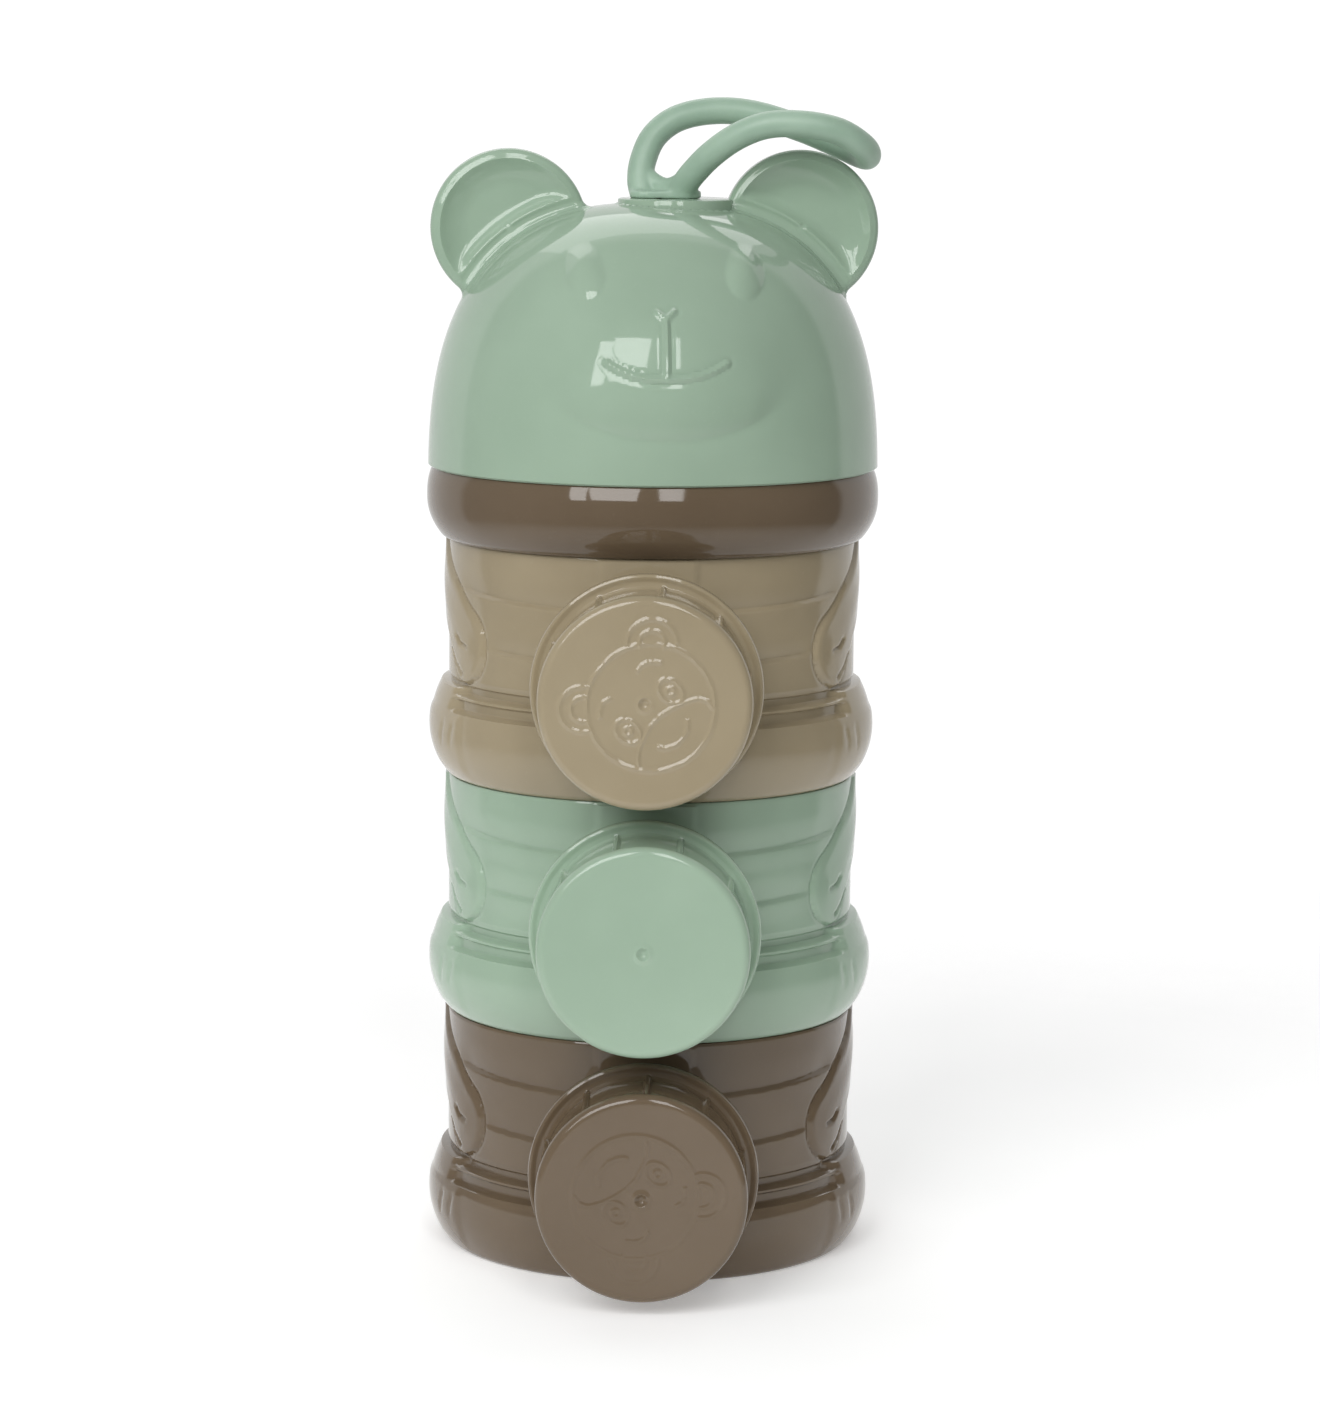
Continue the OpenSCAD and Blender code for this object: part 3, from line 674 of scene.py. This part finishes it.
def faceRelief(x, z):
    # how far the skin stands out over the plain dome: eyes, muzzle, nose and mouth
    lift = 0
    cx, cz, rx, rz = head["eyes"]
    q = hypot((abs(x) - cx) / rx, (z - cz) / rz)
    if q < 1:                                     # steeper along the lower edge
        lift += head["eyeLift"] * (1 - q ** 2) ** (0.85 + 0.8 * ease(-3, 2, z - cz))
    cx, cz, rx, rz = head["muzzle"]
    q = hypot((x - cx) / rx, (z - cz) / rz)
    if q < 1:                                     # fuller below, fading into the cheeks
        lower = (1 - ease(-9, 3, z - cz)) * (1 - ease(15, 26, abs(x)))
        lift += head["muzzleLift"] * ((1 - q ** 2) ** (2.0 - 1.17 * lower))
    if q < 1.3:                                   # faint valley under the chin
        chin = (1 - ease(-9, 0, z - cz)) * (1 - ease(17, 26, abs(x)))
        lift -= 0.12 * exp(-((q - 1.05) / 0.08) ** 2) * chin
    gap = min(toLine(x, z, line) for line in head["lines"])
    if gap < 2:                                   # raised line with a soft hollow beside it
        lift += head["lineLift"] * exp(-(gap / head["lineWidth"]) ** 2.4)
        lift -= 0.14 * exp(-((gap - 0.95) / 0.3) ** 2)
    return lift


def earGap(x, y, z):
    # distance outside the nearer ear, negative inside
    rho = hypot(abs(x) - head["earX"], z - head["earZ"]) - head["earR"]
    flat = abs(y) - head["earT"] / 2
    return hypot(max(rho, 0), max(flat, 0)) if rho > 0 or flat > 0 else max(rho, flat)


def domeSkin():
    # outline of the dome's skin from its foot to its crown, in rows an even distance apart
    p, parts = head["power"], 4000
    first = asin(((head["baseZ"] - head["domeZ"]) / head["rise"]) ** (p / 2))
    fine = [first + (pi / 2 - first) * i / parts for i in range(parts + 1)]
    skin = [(head["r"] * max(0, cos(a)) ** (2 / p),
             head["domeZ"] + head["rise"] * sin(a) ** (2 / p)) for a in fine]
    run = [0]
    for (ra, za), (rb, zb) in zip(skin, skin[1:]):
        run.append(run[-1] + hypot(rb - ra, zb - za))
    rows = []
    at = 0
    for i in range(head["rows"] + 1):
        want = run[-1] * i / head["rows"]
        while run[at] < want and at < parts:
            at += 1
        if skin[at][0] > head["holeR"] + 0.2:
            rows.append(skin[at])
    return rows


def domeShell():
    base, hole, seat = head["baseZ"], head["holeR"], head["seatZ"]
    ledge, throat = head["ledgeR"], head["throatR"]
    outer = domeSkin()
    outer[0] = (outer[0][0], base + 0.35)
    inner = [(domeRadius(z, head["wall"]), z) for z in spaced(201.4, 164, 2.2)]
    outline = [(domeRadius(base) - 0.4, base)] + outer
    outline += [(hole, head["crownZ"]), (hole, seat), (head["seatR"], seat)] + inner
    # ledge that presses on the seal, and the throat with the thread below it
    outline += [(domeRadius(162.8, 2.2), 162.7), (ledge + 0.3, 162.6), (ledge, 162.3),
                (ledge, 161.4), (ledge + 0.3, 161.1), (throat - 0.1, 161.1), (throat, 160.8),
                (throat, base + 0.4), (throat + 0.3, base)]
    shape = spun(outline, head["columns"], closed=True)
    for v in shape.verts:
        x, y, z = v.co / mm
        r = hypot(x, y)
        turn = atan2(x, -y)
        turn -= head["crowd"] * sin(turn)         # columns lie closer together on the face
        x, y = r * sin(turn), -r * cos(turn)
        move = 0
        if z > base and domeGap(r, z) > -0.3 and r > hole + 0.3:
            if y < 0:
                move = faceRelief(x, z)
            ear = earGap(x, y, z)
            move += fillet(head["join"], ear) if ear > -0.4 else 0
            boss = hypot(x - head["bossX"], y) - head["bossR"]
            move += fillet(0.8, boss) if boss >= 0 else 0
        out = domeNormal(x, y, z) * move if move else Vector()
        v.co = (Vector((x, y, z)) + out) * mm
    addThread(shape, "head")
    return shape


def earShell(side):
    # a disc with rounded rim, its front hollowed to a dish that stops short of the dome
    half, around, outer = head["earT"] / 2, head["earRound"], head["earR"]
    outline = [(0, half), (6, half), (11, half)]
    outline += [(outer - around + around * cos(radians(a)),
                 half - around + around * sin(radians(a))) for a in range(90, -1, -15)]
    outline += [(outer - around + around * cos(radians(a)),
                 -half + around + around * sin(radians(a))) for a in range(0, -91, -10)]
    outline += [(r, -half) for r in spaced(outer - around - 0.3, 0.5, 0.48)] + [(0, -half)]
    shape = spun(outline, head["earColumns"])
    # the spun axis is turned to run front to back
    bmesh.ops.transform(shape, verts=shape.verts, matrix=Matrix.Rotation(-pi / 2, 4, "X"))
    for v in shape.verts:
        x, y, z = v.co / mm
        rho = hypot(x, z)
        wx, wz = x + head["earX"], z + head["earZ"]
        gap = domeGap(hypot(wx, y), wz)
        push = fillet(head["join"], gap) if gap > -1.2 else 0
        if y < -half + 0.01 and rho < outer - around:
            fromRim, fromDome = outer - head["rim"] - rho, domeGap(abs(wx), wz) - 2.9
            if fromRim > 0 and fromDome > 0:      # the dish is deep where both are large
                rimSlope = 1 - (1 - min(1, fromRim / 5.5)) ** 2
                y += head["dish"] * rimSlope * (1 - (1 - min(1, fromDome / 2.6)) ** 2)
            y -= 0.22 * exp(-((min(fromRim, fromDome) + 0.35) / 0.4) ** 2) + push
        elif rho > outer - 2.5:
            grow = (rho + push) / rho
            x, z = x * grow, z * grow
            y += -push * 0.5 if y < 0 else push * 0.5
        v.co = Vector((x, y, z)) * mm
    place = (head["earX"] * mm, 0, head["earZ"] * mm)
    bmesh.ops.translate(shape, verts=shape.verts, vec=place)
    # what would hang inside the dome is cut off within its wall and closed there
    gone = [f for f in shape.faces
            if all(domeGap(hypot(v.co.x, v.co.y) / mm, v.co.z / mm) < -0.9 for v in f.verts)]
    bmesh.ops.delete(shape, geom=gone, context="FACES")
    rim = [e for e in shape.edges if e.is_boundary]
    bmesh.ops.holes_fill(shape, edges=rim)
    bmesh.ops.triangulate(shape, faces=[f for f in shape.faces if len(f.verts) > 4])
    if side < 0:
        bmesh.ops.scale(shape, verts=shape.verts, vec=(-1, 1, 1))
    return shape


def bossShell():
    # flat round boss, with the hole for the loop's stem away from its middle
    x, r, hole = head["bossX"], head["bossR"], head["holeR"]
    top, foot = head["bossTop"], head["bossFoot"]
    rings = [(x, r, foot), (x, r, top - 0.35), (x, r - 0.1, top - 0.12), (x, r - 0.4, top),
             (0, hole, top), (0, hole, foot)]
    shape = bmesh.new()
    loops = []
    for cx, r, z in rings:
        made = bmesh.ops.create_circle(shape, cap_ends=False, radius=r * mm,
                                       segments=head["bossColumns"],
                                       matrix=Matrix.Translation((cx * mm, 0, z * mm)))
        loops.append({e for v in made["verts"] for e in v.link_edges})
    for a, b in zip(loops, loops[1:] + loops[:1]):
        bmesh.ops.bridge_loops(shape, edges=list(a | b))
    return shape


headShape = domeShell()
for side in (-1, 1):
    addTo(headShape, earShell(side))
addTo(headShape, bossShell())
bmesh.ops.rotate(headShape, verts=headShape.verts, cent=(0, 0, 0),
                 matrix=Matrix.Rotation(radians(head["turn"]), 3, "Z"))
addPiece("head_shell", finishedMesh(headShape, "head_shell"), mintPp, "head", ["head_cover"])
print("head made")


loop = {"r": 2.66, "sides": 28, "reach": 41.2, "height": 16.7, "voxel": 0.34, "smoothing": 12,
        # middle of the strand, as (hundredths of the reach, mm back, hundredths of the height)
        "route": [(-5.6, 1.4, 1), (-6, 1.6, 8), (-7, 2.5, 20), (-6, 4, 42), (-1, 6, 70),
                  (10, 7.6, 91), (27, 9, 100), (46, 9.4, 97), (68, 9, 81), (85, 8, 64),
                  (96, 5.4, 52), (100, 0.6, 51), (97, -4.6, 63), (86, -7.8, 80), (70, -9, 88),
                  (53, -8.6, 87), (39, -7.2, 74), (27, -5.4, 53), (18, -3.4, 30), (14, -2, 16),
                  (13, -1.6, 10), (12.6, -1.4, 1)],
        # web between the feet of the limbs, in mm above the boss
        "web": [(-2.7, 3.2, 5.4), (-0.5, 1.7, 3.3), (2.1, 0.2, 2.2), (4.5, -1.4, 3.0),
                (7.0, -3.0, 4.9)],
        "webR": 1.75, "pad": (2.0, 3.6, 3.4, 1.5),    # middle, half length, radius, thickness
        # grooved stem that stands in the head, as (radius, height) from its lower end
        "stem": [(0, 198.4), (2.3, 198.4), (2.6, 198.7), (2.6, 199.8), (1.9, 199.8), (1.9, 201.0),
                 (2.6, 201.0), (2.6, 206.7), (0, 206.7)], "stemColumns": 64}


def smoothRoute(points, steps):
    # soft curve through the points, with this many steps between two of them
    path = []
    last = len(points) - 1
    for i in range(last):
        a, b, c, d = (points[max(i - 1, 0)], points[i], points[i + 1], points[min(i + 2, last)])
        for k in range(steps):
            t = k / steps
            path.append(0.5 * (2 * b + (c - a) * t + (2 * a - 5 * b + 4 * c - d) * t * t
                               + (3 * b - a - 3 * c + d) * t * t * t))
    return path + [points[last]]


def tube(shape, path, radius):
    # round strand along a path, ring by ring without twisting
    across = Vector((0, 1, 0))
    loops = []
    for i, point in enumerate(path):
        along = (path[min(i + 1, len(path) - 1)] - path[max(i - 1, 0)]).normalized()
        across = (across - along * across.dot(along)).normalized()
        turn = Matrix((across, along.cross(across), along)).transposed().to_4x4()
        made = bmesh.ops.create_circle(shape, cap_ends=i in (0, len(path) - 1),
                                       radius=radius * mm, segments=loop["sides"],
                                       matrix=Matrix.Translation(point * mm) @ turn)
        loops.append({e for v in made["verts"] for e in v.link_edges})
    for a, b in zip(loops, loops[1:]):
        bmesh.ops.bridge_loops(shape, edges=list(a | b))


def padShape(boss):
    # flat pad that lies on the boss
    middle, half, radius, thick = loop["pad"]
    shape = bmesh.new()
    for side in (-1, 1):
        place = Vector((middle + side * half, 0, boss + thick / 2)) * mm
        bmesh.ops.create_cone(shape, cap_ends=True, segments=48, radius1=radius * mm,
                              radius2=radius * mm, depth=thick * mm,
                              matrix=Matrix.Translation(place))
    bmesh.ops.convex_hull(shape, input=shape.verts)
    return shape


def fused(shape):
    # one soft skin over strand, web and pad
    rough = bpy.data.meshes.new("loopRough")
    shape.to_mesh(rough)
    shape.free()
    holder = bpy.data.objects.new("loopRough", rough)
    bpy.context.scene.collection.objects.link(holder)
    fuse = holder.modifiers.new("fuse", "REMESH")
    fuse.mode = "VOXEL"
    fuse.voxel_size = loop["voxel"] * mm
    soften = holder.modifiers.new("soften", "SMOOTH")
    soften.factor = 0.5
    soften.iterations = loop["smoothing"]
    ready = holder.evaluated_get(bpy.context.evaluated_depsgraph_get())
    mesh = bpy.data.meshes.new_from_object(ready)
    bpy.data.objects.remove(holder)
    shape = bmesh.new()
    shape.from_mesh(mesh)
    bpy.data.meshes.remove(mesh)
    return shape


def loopShape():
    boss = head["bossTop"]
    across, up = loop["reach"] / 100, loop["height"] / 100
    points = [Vector((x * across, y, boss + z * up)) for x, y, z in loop["route"]]
    web = [Vector((x, y, boss + z)) for x, y, z in loop["web"]]
    shape = bmesh.new()
    tube(shape, smoothRoute(points, 5), loop["r"])
    tube(shape, smoothRoute(web, 3), loop["webR"])
    addTo(shape, padShape(boss))
    bmesh.ops.recalc_face_normals(shape, faces=shape.faces)
    shape = fused(shape)
    for v in shape.verts:                         # flat underside on the boss
        v.co.z = max(v.co.z, boss * mm)
    addTo(shape, spun(loop["stem"], loop["stemColumns"]))
    return shape


addPiece("carry_strap", finishedMesh(loopShape(), "carry_strap", 60), mintTpe, "loop",
         ["carry_loop"])
print("carry loop made")


# small pieces that keep their shape and only get a finish
plain = {"mouth_seal_bottom": clearSilicone, "mouth_seal_middle": clearSilicone,
         "mouth_seal_top": clearSilicone, "head_seal": clearSilicone,
         "loop_washer": clearSilicone, "cap_liner_bottom": clearSilicone,
         "cap_liner_middle": clearSilicone, "cap_liner_top": clearSilicone,
         "loop_clip": cocoaAcetal}
for name, material in plain.items():
    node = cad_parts[name]
    for place in node.material_slots:
        place.material = material
    if not node.material_slots:
        node.data.materials.append(material)
print("seals, liners, washer and clip finished")


# sizes and places in metres, lamp power in watts
studio = {"floorSize": 1.6, "paperGlow": 0.3, "fadeFrom": 0.16, "fadeTo": 0.5,
          "left": 0.32, "right": 0.15, "behind": 0.85, "seen": 1.05,
          # the window: middle and width of each pane, then what all panes share
          "panes": [(-0.98, 0.26), (-0.45, 0.62), (0.24, 0.3)], "paneHeight": 0.84,
          "paneY": -1.2, "paneZ": 0.92, "paneGlow": 19, "paneAim": (0.55, 0.17),
          "overhead": (-0.1, 1.1, 1.3), "overheadSize": (1.6, 0.9), "overheadPower": 5,
          "overheadAim": (0, 0, 0.12)}


def addFloor():
    # matt white background paper, lit from below; it fades out into the white round it
    shape = bmesh.new()
    bmesh.ops.create_grid(shape, x_segments=1, y_segments=1, size=studio["floorSize"] / 2)
    mesh = bpy.data.meshes.new("floor")
    shape.to_mesh(mesh)
    shape.free()
    material = bpy.data.materials.new("paperSweep")
    material.use_nodes = True
    tree = material.node_tree
    shader = tree.nodes["Principled BSDF"]
    place = addNode(tree, "ShaderNodeTexCoord")
    grain = addNode(tree, "ShaderNodeTexNoise",             # clouds in the paper, 40 mm
                    {"Scale": 1 / (40 * mm), "Detail": 2.0}, {"Vector": place.outputs["Object"]})
    tint = addNode(tree, "ShaderNodeValToRGB", links={"Fac": grain.outputs["Fac"]})
    tint.color_ramp.elements[0].color = toLinear("#f0f0f0")
    tint.color_ramp.elements[1].color = toLinear("#f6f6f6")
    tree.links.new(tint.outputs["Color"], shader.inputs["Base Color"])
    shader.inputs["Roughness"].default_value = 0.9
    shader.inputs["Specular IOR Level"].default_value = 0.1
    shader.inputs["Emission Color"].default_value = toLinear("#ffffff")
    shader.inputs["Emission Strength"].default_value = studio["paperGlow"]
    far = addNode(tree, "ShaderNodeVectorMath", {"operation": "LENGTH"},
                  {"Vector": place.outputs["Object"]})
    fade = addNode(tree, "ShaderNodeMapRange",
                   {"interpolation_type": "SMOOTHSTEP", "From Min": studio["fadeFrom"],
                    "From Max": studio["fadeTo"]}, {"Value": far.outputs["Value"]})
    clear = addNode(tree, "ShaderNodeBsdfTransparent")
    both = addNode(tree, "ShaderNodeMixShader", links={"Fac": fade.outputs["Result"]})
    tree.links.new(shader.outputs["BSDF"], both.inputs[1])
    tree.links.new(clear.outputs["BSDF"], both.inputs[2])
    tree.links.new(both.outputs["Shader"], tree.nodes["Material Output"].inputs["Surface"])
    mesh.materials.append(material)
    floor = bpy.data.objects.new("floor", mesh)
    bpy.context.scene.collection.objects.link(floor)


def addLamp(name, power, size, place, aim):
    data = bpy.data.lights.new(name, "AREA")
    data.energy = power
    data.shape = "RECTANGLE"
    data.size, data.size_y = size
    lamp = bpy.data.objects.new(name, data)
    bpy.context.scene.collection.objects.link(lamp)
    lamp.location = place
    lamp.rotation_euler = (Vector(aim) - Vector(place)).to_track_quat("-Z", "Y").to_euler()


def addWorld():
    # white sweep behind and beside the object, a dimmer room in front of it
    world = bpy.data.worlds.new("studio")
    bpy.context.scene.world = world
    world.use_nodes = True
    tree = world.node_tree
    tree.nodes.clear()
    place = addNode(tree, "ShaderNodeTexCoord")
    parts = addNode(tree, "ShaderNodeSeparateXYZ", links={"Vector": place.outputs["Generated"]})
    room = addNode(tree, "ShaderNodeMapRange",
                   {"From Min": -0.8, "From Max": 0.8, "To Min": studio["left"],
                    "To Max": studio["right"]}, {"Value": parts.outputs["X"]})
    behind = addNode(tree, "ShaderNodeMapRange",
                     {"From Min": 0.33, "From Max": 0.42, "To Max": studio["behind"]},
                     {"Value": parts.outputs["Y"]})
    tree.links.new(room.outputs["Result"], behind.inputs["To Min"])
    seen = addNode(tree, "ShaderNodeLightPath")
    level = addNode(tree, "ShaderNodeMix", {"data_type": "FLOAT"})
    tree.links.new(seen.outputs["Is Camera Ray"], level.inputs[0])
    tree.links.new(behind.outputs["Result"], level.inputs[2])
    level.inputs[3].default_value = studio["seen"]
    glow = addNode(tree, "ShaderNodeBackground", {"Color": toLinear("#ffffff")},
                   {"Strength": level.outputs[0]})
    addNode(tree, "ShaderNodeOutputWorld", links={"Surface": glow.outputs["Background"]})


addFloor()
addWorld()
aimX, aimZ = studio["paneAim"]                    # part of a pane's own X, and height
for number, (across, width) in enumerate(studio["panes"]):
    power = studio["paneGlow"] * width * studio["paneHeight"]
    addLamp("window%d" % number, power, (width, studio["paneHeight"]),
            (across, studio["paneY"], studio["paneZ"]), (across * aimX, 0, aimZ))
addLamp("overhead", studio["overheadPower"], studio["overheadSize"], studio["overhead"],
        studio["overheadAim"])
bpy.context.scene.view_settings.view_transform = "Standard"
print("studio lit")
